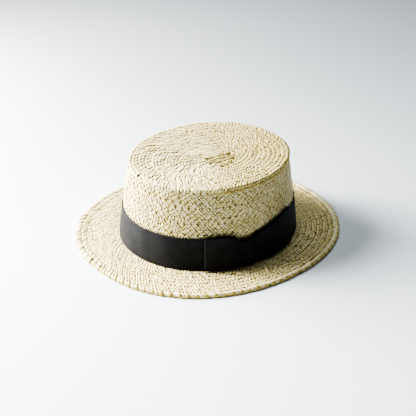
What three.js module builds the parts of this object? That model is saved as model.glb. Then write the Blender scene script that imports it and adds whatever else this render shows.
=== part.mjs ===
// A straw boater hat: hollow straw crown, flat straw brim, ribbon band and flat side bow.
// Millimetres. +Z is up, the wearer faces -Y and the wearer's left is +X.
// The origin is the middle of the brim's flat underside, on the surface that the hat rests on.
import * as THREE from "three";

// Driving dimensions.
const BRIM_HALF_WIDTH = 137.4;
const BRIM_HALF_LENGTH = 151.6;
const BRIM_ROUNDNESS = 2.17; // exponent of the oval: 2 is an ellipse, more is squarer
const HEIGHT = 94.5;
const TIP_HALF_WIDTH = 81.1;
const TIP_HALF_LENGTH = 92.6;
const BASE_HALF_WIDTH = 91.2;
const BASE_HALF_LENGTH = 102.4;
const CROWN_ROUNDNESS = 2.06;
const STRAW = 2.8; // thickness of the plaited wall
const BRIM_SHEET = 3.4; // height of the flat of the brim's upper face
const GAP = 0.3; // clearance between neighbouring pieces
const RIBBON = 1; // thickness of the grosgrain
const BAND_FOOT = 4.2; // height of the band's lower edge
const BAND_HEAD = 40.3; // height of the band's upper edge
const STEPS_AROUND = 96;
const BAND_STEPS = 144;

const CROWN_FOOT = BRIM_SHEET + GAP;
const HEAD_HALF_WIDTH = BASE_HALF_WIDTH - STRAW;
const HEAD_HALF_LENGTH = BASE_HALF_LENGTH - STRAW;

// The tip's edge is a crisp lip at the wearer's left and a soft roll opposite it.
const LIP_BEARING = 30;
const LIP_OVERHANG = 1.3;
const CRISP_RADIUS = 2;
const SOFT_RADIUS = 4.5;
const SHOULDER_STEPS = 4;

// The brim's upper face, from the head opening (share 0) to the outer edge (share 1).
const BRIM_PROFILE = [
  { place: "head opening, under", share: 0, height: 0 },
  { place: "under the outer row", share: 0.965, height: 0 },
  { place: "outer edge, low", share: 0.995, height: 0.9 },
  { place: "outer edge, middle", share: 1, height: 2.4 },
  { place: "outer edge, high", share: 0.99, height: 4 },
  { place: "top of the outer row", share: 0.95, height: 4.7 },
  { place: "between the raised rows", share: 0.89, height: 4.1 },
  { place: "top of the second row", share: 0.83, height: 4.3 },
  { place: "groove inside the raised rows", share: 0.76, height: 3.1 },
  { place: "flat of the brim", share: 0.6, height: BRIM_SHEET },
  { place: "head opening, above", share: 0, height: BRIM_SHEET },
];

// The band's edges around the bow. Bearings are oval angles in degrees from +X towards +Y.
// rise and lift are added to the height of the upper and of the lower edge.
const BAND_EDGES = [
  { bearing: -70, rise: -0.6, lift: 0 },
  { bearing: -38, rise: 0, lift: 0 },
  { bearing: -24, rise: -1.4, lift: 0 },
  { bearing: -16.5, rise: -8.6, lift: 1.6 },
  { bearing: -6.5, rise: -8.6, lift: 1.6 },
  { bearing: 2, rise: -1.4, lift: 1 },
  { bearing: 14, rise: 0, lift: 0.6 },
  { bearing: 30, rise: 0.6, lift: 0 },
  { bearing: 70, rise: 0, lift: 0 },
];

// Each loop runs from the knot to its fold. stand is how far its outer layer stands off the
// crown, foot and top are the heights of its edges.
const FRONT_LOOP = [
  { bearing: -15.8, stand: 3.8, foot: 6, top: 34 },
  { bearing: -19, stand: 4.2, foot: 5.8, top: 38 },
  { bearing: -24, stand: 4.5, foot: 5.6, top: 40.9 },
  { bearing: -31, stand: 4.2, foot: 5.4, top: 41.5 },
  { bearing: -37.8, stand: 3.8, foot: 5.4, top: 41.1 },
];
const REAR_LOOP = [
  { bearing: -7.2, stand: 3.8, foot: 6, top: 34 },
  { bearing: -3, stand: 4.2, foot: 5.7, top: 37.7 },
  { bearing: 4, stand: 4.6, foot: 5.5, top: 40.2 },
  { bearing: 15, stand: 4.4, foot: 5.4, top: 43.4 },
  { bearing: 26.6, stand: 3.8, foot: 5.5, top: 46.2 },
];
const LOOP_BACK = 2 * GAP + RIBBON; // how far the back of a loop stands off the crown
const LOOP_STEPS = 12;
const FOLD_STEPS = 6;

// The knot is a C: a face over the gathered ribbon and a return over each of its edges.
const KNOT = { from: -15.3, to: -7.7, foot: 4.4, top: 33.2, stand: 4.7, swell: 0.5, corner: 1.2 };
const KNOT_STEPS = 6;

const radians = THREE.MathUtils.degToRad;

// A point of an oval with the given half axes at an oval angle.
function ovalPoint(angle, halfWidth, halfLength, roundness, height) {
  const power = 2 / roundness;
  const cos = Math.cos(angle);
  const sin = Math.sin(angle);
  const x = halfWidth * Math.sign(cos) * Math.abs(cos) ** power;
  const y = halfLength * Math.sign(sin) * Math.abs(sin) ** power;
  return new THREE.Vector3(x, y, height);
}

// A point beside the crown's straight side, out by stand from its outer face.
function sidePoint(angle, height, stand) {
  const share = (height - CROWN_FOOT) / (HEIGHT - CROWN_FOOT);
  const halfWidth = THREE.MathUtils.lerp(BASE_HALF_WIDTH, TIP_HALF_WIDTH, share) + stand;
  const halfLength = THREE.MathUtils.lerp(BASE_HALF_LENGTH, TIP_HALF_LENGTH, share) + stand;
  return ovalPoint(angle, halfWidth, halfLength, CROWN_ROUNDNESS, height);
}

// 0 in the middle of the crisp lip, 1 opposite it.
function softness(angle) {
  return 0.5 - 0.5 * Math.cos(angle - radians(LIP_BEARING));
}

// A column of a table at a bearing, eased between the two rows around it.
function readTable(table, column, bearing) {
  const rising = table[0].bearing < table[table.length - 1].bearing;
  const rows = rising ? table : table.slice().reverse();
  const last = rows[rows.length - 1];
  if (bearing <= rows[0].bearing) return rows[0][column];
  if (bearing >= last.bearing) return last[column];
  const next = rows.findIndex((row) => row.bearing > bearing);
  const before = rows[next - 1];
  const after = rows[next];
  const share = (bearing - before.bearing) / (after.bearing - before.bearing);
  return THREE.MathUtils.lerp(before[column], after[column], THREE.MathUtils.smoothstep(share, 0, 1));
}

// Joins rings that all have the same number of points. A closed loft joins the last ring
// to the first one. An open one is capped, with a fan or along the triangles of its outline.
function loft(rings, closed, outline) {
  const count = rings[0].length;
  const points = rings.flat();
  const triangles = [];
  const joins = closed ? rings.length : rings.length - 1;
  for (let ring = 0; ring < joins; ring += 1) {
    const here = ring * count;
    const there = ((ring + 1) % rings.length) * count;
    for (let step = 0; step < count; step += 1) {
      const next = (step + 1) % count;
      triangles.push([here + step, here + next, there + next]);
      triangles.push([here + step, there + next, there + step]);
    }
  }
  if (!closed) {
    const end = (rings.length - 1) * count;
    const faces = outline ? outlineFaces(outline) : fanFaces(count);
    for (const start of [0, end]) {
      const hub = points.push(middlePoint(points.slice(start, start + count))) - 1;
      for (const face of faces) {
        const corners = face.map((corner) => (corner === count ? hub : start + corner));
        triangles.push(start === 0 ? corners.reverse() : corners);
      }
    }
  }
  return solidGeometry(points, triangles);
}

// The triangles of a fan from each edge of a ring to a hub, which is numbered count.
function fanFaces(count) {
  return Array.from({ length: count }, (_, step) => [step, (step + 1) % count, count]);
}

// The triangles that fill a flat outline, turned the way that the outline runs.
function outlineFaces(outline) {
  const flat = outline.map(({ stand, height }) => new THREE.Vector2(stand, height));
  return THREE.ShapeUtils.triangulateShape(flat, []);
}

function middlePoint(points) {
  const middle = new THREE.Vector3();
  for (const point of points) middle.addScaledVector(point, 1 / points.length);
  return middle;
}

// A flat-shaded geometry whose faces point out.
function solidGeometry(points, triangles) {
  let volume = 0;
  for (const [a, b, c] of triangles) {
    volume += points[a].dot(new THREE.Vector3().crossVectors(points[b], points[c])) / 6;
  }
  const faces = volume < 0 ? triangles.map(([a, b, c]) => [a, c, b]) : triangles;
  const geometry = new THREE.BufferGeometry();
  geometry.setFromPoints(faces.flat().map((index) => points[index]));
  geometry.computeVertexNormals();
  return geometry;
}

function ring(steps, place) {
  return Array.from({ length: steps }, (_, step) => place((2 * Math.PI * step) / steps));
}

// One ring of the crown's wall. drop is the depth below the tip and inset the distance inside
// the straight side, each as a function of the angle.
function crownRing(drop, inset) {
  return ring(STEPS_AROUND, (angle) => sidePoint(angle, HEIGHT - drop(angle), -inset(angle)));
}

function shoulderRings(radiusAt, wall) {
  const rings = [];
  for (let step = 0; step <= SHOULDER_STEPS; step += 1) {
    const turn = (Math.PI / 2) * (step / SHOULDER_STEPS);
    const drop = (angle) => wall + radiusAt(angle) * (1 - Math.sin(turn));
    const inset = (angle) => wall + radiusAt(angle) * (1 - Math.cos(turn));
    rings.push(crownRing(drop, inset));
  }
  return rings;
}

function crownGeometry() {
  const radiusAt = (angle) => THREE.MathUtils.lerp(CRISP_RADIUS, SOFT_RADIUS, softness(angle));
  const overhang = (angle) => LIP_OVERHANG * (1 - softness(angle));
  const footDrop = () => HEIGHT - CROWN_FOOT;
  const underLip = (angle) => radiusAt(angle) + 3.2;
  const lipEdge = (angle) => radiusAt(angle) + 1.4;
  const outer = [
    crownRing(footDrop, () => 0),
    crownRing(() => (HEIGHT - CROWN_FOOT) / 2, () => 0),
    crownRing(underLip, overhang),
    crownRing(lipEdge, () => 0),
    ...shoulderRings(radiusAt, 0),
  ];
  const inner = [
    crownRing(footDrop, () => STRAW),
    crownRing(() => (HEIGHT - CROWN_FOOT) / 2, () => STRAW),
    crownRing((angle) => STRAW + radiusAt(angle) + 3.2, (angle) => STRAW + overhang(angle)),
    ...shoulderRings(radiusAt, STRAW),
  ];
  return loft([...inner.reverse(), ...outer], false);
}

function brimGeometry() {
  const rings = BRIM_PROFILE.map(({ share, height }) =>
    ring(STEPS_AROUND, (angle) => {
      const inside = ovalPoint(angle, HEAD_HALF_WIDTH, HEAD_HALF_LENGTH, CROWN_ROUNDNESS, height);
      const outside = ovalPoint(angle, BRIM_HALF_WIDTH, BRIM_HALF_LENGTH, BRIM_ROUNDNESS, height);
      return inside.lerp(outside, share);
    })
  );
  return loft(rings, true);
}

// The four corners of the band's section at each step around the crown.
function bandGeometry() {
  const sections = ring(BAND_STEPS, (angle) => {
    const bearing = ((THREE.MathUtils.radToDeg(angle) + 180) % 360) - 180;
    const foot = BAND_FOOT + readTable(BAND_EDGES, "lift", bearing);
    const head = BAND_HEAD + readTable(BAND_EDGES, "rise", bearing);
    return [
      sidePoint(angle, foot, GAP),
      sidePoint(angle, foot, GAP + RIBBON),
      sidePoint(angle, head, GAP + RIBBON),
      sidePoint(angle, head, GAP),
    ];
  });
  return loft(sections, true);
}

// The four corners of a loop's ribbon where it passes a bearing, at two distances from the
// crown. along moves a corner further than the bearing, in millimetres.
function loopSection(table, bearing, front, back) {
  const foot = readTable(table, "foot", bearing);
  const top = readTable(table, "top", bearing);
  const frontAngle = radians(bearing) + front.along / BASE_HALF_LENGTH;
  const backAngle = radians(bearing) + back.along / BASE_HALF_LENGTH;
  return [
    sidePoint(backAngle, foot, back.stand),
    sidePoint(frontAngle, foot, front.stand),
    sidePoint(frontAngle, top, front.stand),
    sidePoint(backAngle, top, back.stand),
  ];
}

// A loop of the bow: ribbon out along its front, round the fold and back against the band.
function loopGeometry(table) {
  const knot = table[0].bearing;
  const fold = table[table.length - 1];
  const outward = Math.sign(fold.bearing - knot);
  const foldRadius = (fold.stand - LOOP_BACK) / 2;
  const foldMiddle = fold.stand - foldRadius;
  const sections = [];
  for (let step = 0; step < LOOP_STEPS; step += 1) {
    const bearing = THREE.MathUtils.lerp(knot, fold.bearing, step / LOOP_STEPS);
    const stand = readTable(table, "stand", bearing);
    const front = { along: 0, stand };
    sections.push(loopSection(table, bearing, front, { along: 0, stand: stand - RIBBON }));
  }
  for (let step = 0; step <= FOLD_STEPS; step += 1) {
    const turn = Math.PI * (0.5 - step / FOLD_STEPS);
    const place = (radius) => ({
      along: outward * radius * Math.cos(turn),
      stand: foldMiddle + radius * Math.sin(turn),
    });
    sections.push(loopSection(table, fold.bearing, place(foldRadius), place(foldRadius - RIBBON)));
  }
  for (let step = 1; step <= LOOP_STEPS; step += 1) {
    const bearing = THREE.MathUtils.lerp(fold.bearing, knot, step / LOOP_STEPS);
    const front = { along: 0, stand: LOOP_BACK };
    sections.push(loopSection(table, bearing, front, { along: 0, stand: LOOP_BACK + RIBBON }));
  }
  return loft(sections, false);
}

// The C of the knot: back edge of the lower return, round the face to the upper one.
function knotOutline(stand) {
  const { foot, top, corner } = KNOT;
  const inside = stand - RIBBON;
  return [
    { stand: GAP, height: foot },
    { stand: stand - corner, height: foot },
    { stand, height: foot + corner },
    { stand, height: top - corner },
    { stand: stand - corner, height: top },
    { stand: GAP, height: top },
    { stand: GAP, height: top - RIBBON },
    { stand: inside, height: top - RIBBON },
    { stand: inside, height: foot + RIBBON },
    { stand: GAP, height: foot + RIBBON },
  ];
}

function knotGeometry() {
  const sections = [];
  for (let step = 0; step <= KNOT_STEPS; step += 1) {
    const share = step / KNOT_STEPS;
    const angle = radians(THREE.MathUtils.lerp(KNOT.from, KNOT.to, share));
    const stand = KNOT.stand + KNOT.swell * Math.sin(Math.PI * share);
    sections.push(knotOutline(stand).map((corner) => sidePoint(angle, corner.height, corner.stand)));
  }
  return loft(sections, false, knotOutline(KNOT.stand));
}

const straw = new THREE.MeshStandardMaterial({ color: 0xdccfa8, roughness: 0.6, metalness: 0 });
const ribbon = new THREE.MeshStandardMaterial({ color: 0x17181b, roughness: 0.75, metalness: 0 });

const hat = new THREE.Group();

function addPiece(name, geometry, material) {
  const piece = new THREE.Mesh(geometry, material.clone());
  piece.name = name;
  hat.add(piece);
}

addPiece("crown", crownGeometry(), straw);
addPiece("brim", brimGeometry(), straw);
addPiece("hat_band", bandGeometry(), ribbon);
addPiece("bow_front_loop", loopGeometry(FRONT_LOOP), ribbon);
addPiece("bow_rear_loop", loopGeometry(REAR_LOOP), ribbon);
addPiece("bow_knot", knotGeometry(), ribbon);

export default hat;
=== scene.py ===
"""A straw boater hat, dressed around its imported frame.

The crown and the brim are made of plaited straw: closed backing walls with every strand of the
plait laid over them. The band, the two loops of the bow and its knot are grosgrain ribbon.
Lengths of the hat are millimetres in the classes, and meshes are written in metres, as are the
studio and the ribbon's flat sizes. +Z is up, the wearer faces -Y, and bearings are oval angles
from +X towards +Y.
"""

import logging
import math
from dataclasses import dataclass, field
from enum import Enum

import bpy
import numpy as np
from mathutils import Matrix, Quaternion, Vector

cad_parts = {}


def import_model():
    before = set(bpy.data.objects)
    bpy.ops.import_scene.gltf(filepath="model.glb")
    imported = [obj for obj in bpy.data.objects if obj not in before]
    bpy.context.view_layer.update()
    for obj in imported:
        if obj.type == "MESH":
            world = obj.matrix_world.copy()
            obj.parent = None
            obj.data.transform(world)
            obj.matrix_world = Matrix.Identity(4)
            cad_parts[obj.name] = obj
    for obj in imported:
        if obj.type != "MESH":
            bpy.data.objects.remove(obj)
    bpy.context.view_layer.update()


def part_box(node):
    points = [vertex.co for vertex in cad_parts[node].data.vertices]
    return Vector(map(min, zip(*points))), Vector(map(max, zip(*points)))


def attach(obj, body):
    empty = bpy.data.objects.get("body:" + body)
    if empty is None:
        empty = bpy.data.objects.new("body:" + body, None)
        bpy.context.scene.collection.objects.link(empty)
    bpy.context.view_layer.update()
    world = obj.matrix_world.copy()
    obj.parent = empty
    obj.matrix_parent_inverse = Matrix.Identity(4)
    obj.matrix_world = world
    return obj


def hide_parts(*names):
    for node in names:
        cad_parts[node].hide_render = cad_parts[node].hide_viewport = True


MM = 0.001
TURN = 2 * math.pi
BODY = "root"
LOG = logging.getLogger("boater")
DARKEST = 1.6  # the painted shade of the deepest grooves in the straw
GRAINS = 40  # how many places of the straw's grain a strand may start from
ROUND_CROWN = 95.0  # millimetres of one radian round the crown, for patterns
ROUND_BRIM = 120.0  # millimetres of one radian round the brim, for patterns
CRISP_ANGLE = math.radians(50)  # edges sharper than this stay crisp on ribbon

Array = np.ndarray
Color = tuple[float, float, float]


class Slot(Enum):
    """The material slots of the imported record."""

    STRAW = "straw"
    RIBBON = "ribbon"


# ---------------------------------------------------------------- small helpers


def lerp(start: Array | float, end: Array | float, share: Array | float) -> Array:
    """Returns the value a share of the way from start to end."""
    return start + (end - start) * share


def smooth(share: Array | float) -> Array:
    """Returns an eased share, held between 0 and 1."""
    held = np.clip(share, 0, 1)
    return held * held * (3 - 2 * held)


def eased_table(rows: tuple[tuple[float, float], ...], value: Array) -> Array:
    """Reads a table of (place, amount) rows, eased between neighbouring rows.

    Args:
        rows: The table, with rising places.
        value: The places to read it at.

    Returns:
        The amounts there, held beyond the first and the last row.
    """
    places = np.array([row[0] for row in rows], float)
    amounts = np.array([row[1] for row in rows], float)
    index = np.clip(np.searchsorted(places, value, side="right") - 1, 0, len(rows) - 2)
    share = (value - places[index]) / (places[index + 1] - places[index])
    return lerp(amounts[index], amounts[index + 1], smooth(share))


def measured(line: Array) -> tuple[Array, Array]:
    """Returns the length of each step of a line of points, and the distance run at each point."""
    steps = np.linalg.norm(np.diff(line, axis=0), axis=1)
    return steps, np.concatenate([[0], np.cumsum(steps)])


def turned(turn: Array, outward: Array) -> Array:
    """Returns unit vectors that lean from straight up towards outward by an angle."""
    up = np.array([0.0, 0.0, 1.0])
    return np.cos(turn)[..., None] * up + np.sin(turn)[..., None] * outward


def towards(azimuth: float, elevation: float) -> Vector:
    """Returns the way to a place round the hat, with azimuths in radians from -Y towards +X."""
    level = math.cos(elevation)
    return Vector((math.sin(azimuth) * level, -math.cos(azimuth) * level, math.sin(elevation)))


def node_box(node: str) -> tuple[Vector, Vector]:
    """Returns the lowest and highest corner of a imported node, in millimetres."""
    low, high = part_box(node)
    return low / MM, high / MM


def hide_selection() -> None:
    """Leaves edit mode and deselects all, so that an operator finds only its own piece."""
    if bpy.context.object is not None and bpy.context.object.mode != "OBJECT":
        bpy.ops.object.mode_set(mode="OBJECT")
    bpy.ops.object.select_all(action="DESELECT")


def add_object(name: str, data: bpy.types.ID) -> bpy.types.Object:
    """Adds an object that shows a mesh, a light or a camera.

    Args:
        name: The object's name.
        data: What it shows.

    Returns:
        The object, linked to the scene.
    """
    made = bpy.data.objects.new(name, data)
    bpy.context.scene.collection.objects.link(made)
    return made


def take(piece: bpy.types.Object) -> None:
    """Selects one piece alone and makes it the active one.

    Args:
        piece: The mesh object.
    """
    hide_selection()
    piece.select_set(True)
    bpy.context.view_layer.objects.active = piece


def coordinates(piece: bpy.types.Object) -> Array:
    """Reads a piece's vertices.

    Args:
        piece: The mesh object.

    Returns:
        Rows of x, y, z in metres.
    """
    flat = np.zeros(len(piece.data.vertices) * 3)
    piece.data.vertices.foreach_get("co", flat)
    return flat.reshape(-1, 3)


def set_coordinates(piece: bpy.types.Object, points: Array) -> None:
    """Moves a piece's vertices to the given points, in metres."""
    piece.data.vertices.foreach_set("co", points.astype(np.float32).ravel())
    piece.data.update()


def write_attribute(piece: bpy.types.Object, name: str, values: Array) -> None:
    """Stores one number for each vertex under a name that a finish can read."""
    layer = piece.data.attributes.new(name, "FLOAT", "POINT")
    layer.data.foreach_set("value", values.astype(np.float32).ravel())


def write_uv(piece: bpy.types.Object, across: Array, along: Array) -> None:
    """Stores a UV map that gives each vertex the same place in all of its faces.

    Args:
        piece: The mesh object.
        across: U of each vertex.
        along: V of each vertex.
    """
    layer = piece.data.uv_layers.new(name="cloth")
    corners = np.zeros(len(piece.data.loops), np.int32)
    piece.data.loops.foreach_get("vertex_index", corners)
    pairs = np.stack([across[corners], along[corners]], axis=-1)
    layer.data.foreach_set("uv", pairs.astype(np.float32).ravel())


def thicken(piece: bpy.types.Object, thickness: float, even: bool = False) -> None:
    """Turns a sheet into a closed wall, inwards from its face, with crisp edges.

    Args:
        piece: The sheet's mesh object.
        thickness: The wall's thickness in millimetres.
        even: Whether corners keep the full thickness.
    """
    take(piece)
    wall = piece.modifiers.new("wall", "SOLIDIFY")
    wall.thickness = thickness * MM
    wall.offset = -1
    wall.use_even_offset = even
    bpy.ops.object.modifier_apply(modifier=wall.name)
    bpy.ops.object.shade_smooth_by_angle(angle=CRISP_ANGLE)


def finish_piece(
    piece: bpy.types.Object, material: bpy.types.Material, slot: Slot, *nodes: str
) -> None:
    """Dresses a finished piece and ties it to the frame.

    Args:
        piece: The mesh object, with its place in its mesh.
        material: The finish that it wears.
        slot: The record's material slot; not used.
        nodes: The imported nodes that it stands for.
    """
    piece.data.materials.clear()
    piece.data.materials.append(material)
    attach(piece, BODY)
    if nodes:
        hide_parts(*nodes)
    LOG.info("%s: %d faces", piece.name, len(piece.data.polygons))


# ---------------------------------------------------------------- shader kit


class Signal:
    """A socket of a material's nodes that takes part in arithmetic."""

    def __init__(self, recipe: "Recipe", socket: bpy.types.NodeSocket) -> None:
        """Wraps an output socket of the recipe's nodes."""
        self.recipe = recipe
        self.socket = socket

    def _math(self, operation: str, first: object, second: object = 0.0) -> "Signal":
        """Adds a Math node on two numbers or signals."""
        settings = {"operation": operation}
        return self.recipe.node("ShaderNodeMath", settings, {0: first, 1: second})

    def __add__(self, other: object) -> "Signal":
        """Adds another signal or number."""
        return self._math("ADD", self, other)

    __radd__ = __add__

    def __sub__(self, other: object) -> "Signal":
        """Takes another signal or number away."""
        return self._math("SUBTRACT", self, other)

    def __rsub__(self, other: object) -> "Signal":
        """Takes this signal away from a number."""
        return self._math("SUBTRACT", other, self)

    def __mul__(self, other: object) -> "Signal":
        """Multiplies by another signal or number."""
        return self._math("MULTIPLY", self, other)

    __rmul__ = __mul__

    def __truediv__(self, other: object) -> "Signal":
        """Divides by another signal or number."""
        return self._math("DIVIDE", self, other)

    def sine(self) -> "Signal":
        """Returns the sine of the signal, in radians."""
        return self._math("SINE", self)

    def size(self) -> "Signal":
        """Returns the signal without its sign."""
        return self._math("ABSOLUTE", self)

    def step_between(self, low: float, high: float) -> "Signal":
        """Adds a smooth step of the signal.

        Args:
            low: Where the step starts.
            high: Where it ends.

        Returns:
            A signal that goes from 0 at low to 1 at high.
        """
        settings = {"interpolation_type": "SMOOTHSTEP"}
        inputs = {"Value": self, "From Min": low, "From Max": high}
        return self.recipe.node("ShaderNodeMapRange", settings, inputs)


class Recipe:
    """A node material under construction, with one Principled shader."""

    # the colour sockets of a Mix node, whose names its other sockets have too
    first_color: int = 6
    second_color: int = 7
    mixed_color: int = 2

    def __init__(self, name: str) -> None:
        """Starts a material that has only its shader.

        Args:
            name: The material's name.
        """
        self.material = bpy.data.materials.new(name)
        self.material.use_nodes = True
        self.tree = self.material.node_tree
        self.tree.nodes.clear()
        self.shader = self.tree.nodes.new("ShaderNodeBsdfPrincipled")
        output = self.tree.nodes.new("ShaderNodeOutputMaterial")
        self.tree.links.new(self.shader.outputs["BSDF"], output.inputs["Surface"])

    def node(self, kind: str, settings: dict, inputs: dict, output: int | str = 0) -> Signal:
        """Adds one node.

        Args:
            kind: The node's type.
            settings: Properties of the node, which are set first.
            inputs: Values or signals for its sockets, by name or number.
            output: The output socket that is returned.

        Returns:
            The signal of that output.
        """
        made = self.tree.nodes.new(kind)
        for name, value in settings.items():
            setattr(made, name, value)
        for key, value in inputs.items():
            self.feed(made.inputs[key], value)
        return Signal(self, made.outputs[output])

    def feed(self, socket: bpy.types.NodeSocket, value: object) -> None:
        """Links a signal to a socket, or sets its value.

        Args:
            socket: The input socket.
            value: A signal, a number, a vector or a colour.
        """
        if isinstance(value, Signal):
            self.tree.links.new(value.socket, socket)
        elif isinstance(value, tuple) and len(value) == 3 and socket.type == "RGBA":
            socket.default_value = (*value, 1.0)
        else:
            socket.default_value = value

    def attribute(self, name: str) -> Signal:
        """Returns the number that a piece stores for each vertex under that name."""
        return self.node("ShaderNodeAttribute", {"attribute_name": name}, {}, "Fac")

    def place(self) -> Signal:
        """Returns the Object coordinates."""
        return self.node("ShaderNodeTexCoord", {}, {}, "Object")

    def cloth(self) -> tuple[Signal, Signal, Signal]:
        """Adds the piece's UV.

        Returns:
            The UV as a vector, its U and its V.
        """
        uv = self.node("ShaderNodeUVMap", {"uv_map": "cloth"}, {})
        across = self.node("ShaderNodeSeparateXYZ", {}, {0: uv}, "X")
        return uv, across, Signal(self, across.socket.node.outputs["Y"])

    def stretched(self, vector: Signal, scale: tuple[float, float, float]) -> Signal:
        """Returns a vector scaled along each axis."""
        return self.node("ShaderNodeMapping", {}, {"Vector": vector, "Scale": scale})

    def noise(self, vector: Signal, scale: float, detail: float = 2.0) -> Signal:
        """Returns a noise between 0 and 1 of that scale over a vector."""
        inputs = {"Vector": vector, "Scale": scale, "Detail": detail}
        return self.node("ShaderNodeTexNoise", {}, inputs, "Fac")

    def mixed(self, share: object, first: object, second: object) -> Signal:
        """Mixes two colours.

        Args:
            share: How much of the second colour, as a number or signal.
            first: The first colour.
            second: The second colour.

        Returns:
            The mixed colour.
        """
        inputs = {"Factor": share, self.first_color: first, self.second_color: second}
        return self.node("ShaderNodeMix", {"data_type": "RGBA"}, inputs, self.mixed_color)

    def bump(self, height: Signal, depth: float, strength: float = 1.0) -> Signal:
        """Returns a normal from a height signal, with a depth in millimetres."""
        inputs = {"Height": height, "Distance": depth * MM, "Strength": strength}
        return self.node("ShaderNodeBump", {}, inputs, "Normal")

    def wear(self, **sockets: object) -> bpy.types.Material:
        """Feeds the shader and ends the recipe.

        Args:
            sockets: Values or signals by the name of their socket, with underscores for spaces.

        Returns:
            The material.
        """
        for name, value in sockets.items():
            self.feed(self.shader.inputs[name.replace("_", " ")], value)
        return self.material


@dataclass(frozen=True)
class StrawFinish:
    """Natural straw: pale glossy strands, with golden to brown painted shade where they dive under
    their neighbours, between them and in grooves.
    """

    name: str = "plaited_straw"
    pale: Color = (0.97, 0.90, 0.59)
    cream: Color = (0.79, 0.68, 0.35)
    # the last three colours are painted shade, from golden in seams and dips to deepest in the
    # core's grooves
    gold: Color = (0.66, 0.505, 0.13)
    umber: Color = (0.27, 0.20, 0.05)
    deepest_shade: Color = (0.05, 0.033, 0.012)
    full_gold: float = 0.6  # the painted shade at which a strand is all gold
    full_umber: float = 1.0
    fibre: tuple[float, float, float] = (7.0, 0.8, 1.0)
    patches: float = 45.0  # patches in a metre
    flecks: float = 330.0  # flecks in a metre
    roughness: float = 0.38

    def make(self) -> bpy.types.Material:
        """Makes the finish of the strands.

        Returns:
            The material.
        """
        recipe = Recipe(self.name)
        uv, _, _ = recipe.cloth()
        tone = recipe.attribute("tone")
        shade = recipe.attribute("shade")
        fibre = recipe.noise(recipe.stretched(uv, self.fibre), 1.0, 3.0)
        patches = recipe.noise(recipe.place(), self.patches)
        flecks = recipe.noise(recipe.place(), self.flecks, 1.0).step_between(0.46, 0.62)
        creamy = tone * 0.6 + patches * 0.3 + flecks * 0.6 - 0.2
        body = recipe.mixed(creamy, self.pale, self.cream)
        streaked = recipe.mixed(fibre.step_between(0.52, 0.74) * 0.4, body, self.cream)
        # the shade attribute paints shade in colour: gold, then umber, then the deepest colour in
        # the core's grooves
        golden = recipe.mixed(shade.step_between(0.0, self.full_gold), streaked, self.gold)
        dark = shade.step_between(self.full_gold, self.full_umber)
        brown = recipe.mixed(dark, golden, self.umber)
        darkest = shade.step_between(self.full_umber, DARKEST)
        return recipe.wear(
            Base_Color=recipe.mixed(darkest, brown, self.deepest_shade),
            Roughness=self.roughness,
            Specular_IOR_Level=0.5,
            Normal=recipe.bump(fibre, 0.12, 0.5),
        )


@dataclass(frozen=True)
class BackingFinish:
    """The back of the plait: the same straw, duller, with the strands as slanting relief and golden
    painted shade in its gaps and along the rows' edges.
    """

    name: str = "straw_back"
    pale: Color = (0.80, 0.70, 0.40)
    # gold is painted shade in the relief's gaps and along the rows' edges
    gold: Color = (0.56, 0.42, 0.15)
    strand: float = 3.55  # millimetres of the row for each strand
    slant: float = 1.6  # strands that the relief moves on by in one row
    roughness: float = 0.65

    def make(self) -> bpy.types.Material:
        """Makes the finish of the backing walls.

        Returns:
            The material.
        """
        recipe = Recipe(self.name)
        uv, along, row = recipe.cloth()
        slanted = along / self.strand + row * self.slant
        ridge = (slanted * math.pi).sine().size()
        gap = 1 - ridge.step_between(0.1, 0.55)
        edge = (row * math.pi).sine().size().step_between(0.05, 0.4)
        grain = recipe.noise(recipe.stretched(uv, (1.5, 4.0, 1.0)), 1.0)
        body = recipe.mixed(grain, self.pale, self.gold)
        lit = recipe.mixed(0.25, body, self.pale)
        # painted shade: gold in the gaps between the slanting strands and along each row's edge
        color = recipe.mixed(gap * 0.6 + (1 - edge) * 0.3, lit, self.gold)
        normal = recipe.bump(ridge * 0.6 + edge * 0.4, 0.9)
        return recipe.wear(Base_Color=color, Roughness=self.roughness, Normal=normal)


@dataclass(frozen=True)
class GrosgrainFinish:
    """Black ribbed ribbon with a soft matt sheen."""

    name: str = "black_grosgrain"
    black: Color = (0.0085, 0.009, 0.0105)
    # lighter grey of the ribbon's random smears and ribs; on the ribbon it paints wear only, no
    # shade
    wear_and_shade: Color = (0.026, 0.0265, 0.028)
    # painted shade inside the band's small hole
    hole: Color = (0.001, 0.001, 0.001)
    smears: float = 60.0  # smears in a metre
    roughness: float = 0.72

    def make(self) -> bpy.types.Material:
        """Makes the finish of the ribbon.

        Returns:
            The material.
        """
        recipe = Recipe(self.name)
        uv, along, _ = recipe.cloth()
        rib = (along * TURN).sine() * 0.5 + 0.5
        thread = recipe.noise(recipe.stretched(uv, (3.0, 6.0, 1.0)), 1.0)
        smear = recipe.noise(recipe.place(), self.smears, 3.0).step_between(0.40, 0.62)
        body = recipe.mixed(smear * 0.6 + rib * 0.2, self.black, self.wear_and_shade)
        # painted shade: near black inside the band's small hole
        color = recipe.mixed(recipe.attribute("pit"), body, self.hole)
        normal = recipe.bump(rib * 0.6 + thread * 0.4, 0.15, 0.6)
        return recipe.wear(
            Base_Color=color,
            Roughness=self.roughness,
            Specular_IOR_Level=0.35,
            Sheen_Weight=0.14,
            Sheen_Roughness=0.45,
            Sheen_Tint=(0.8, 0.82, 0.9),
            Normal=normal,
        )


@dataclass(frozen=True)
class FloorFinish:
    """A plain pale studio floor."""

    name: str = "studio_floor"
    color: Color = (0.79, 0.83, 0.86)
    roughness: float = 0.9

    def make(self) -> bpy.types.Material:
        """Returns the material of the floor."""
        return Recipe(self.name).wear(
            Base_Color=self.color, Roughness=self.roughness, Specular_IOR_Level=0.1
        )


# ---------------------------------------------------------------- forms


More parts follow.
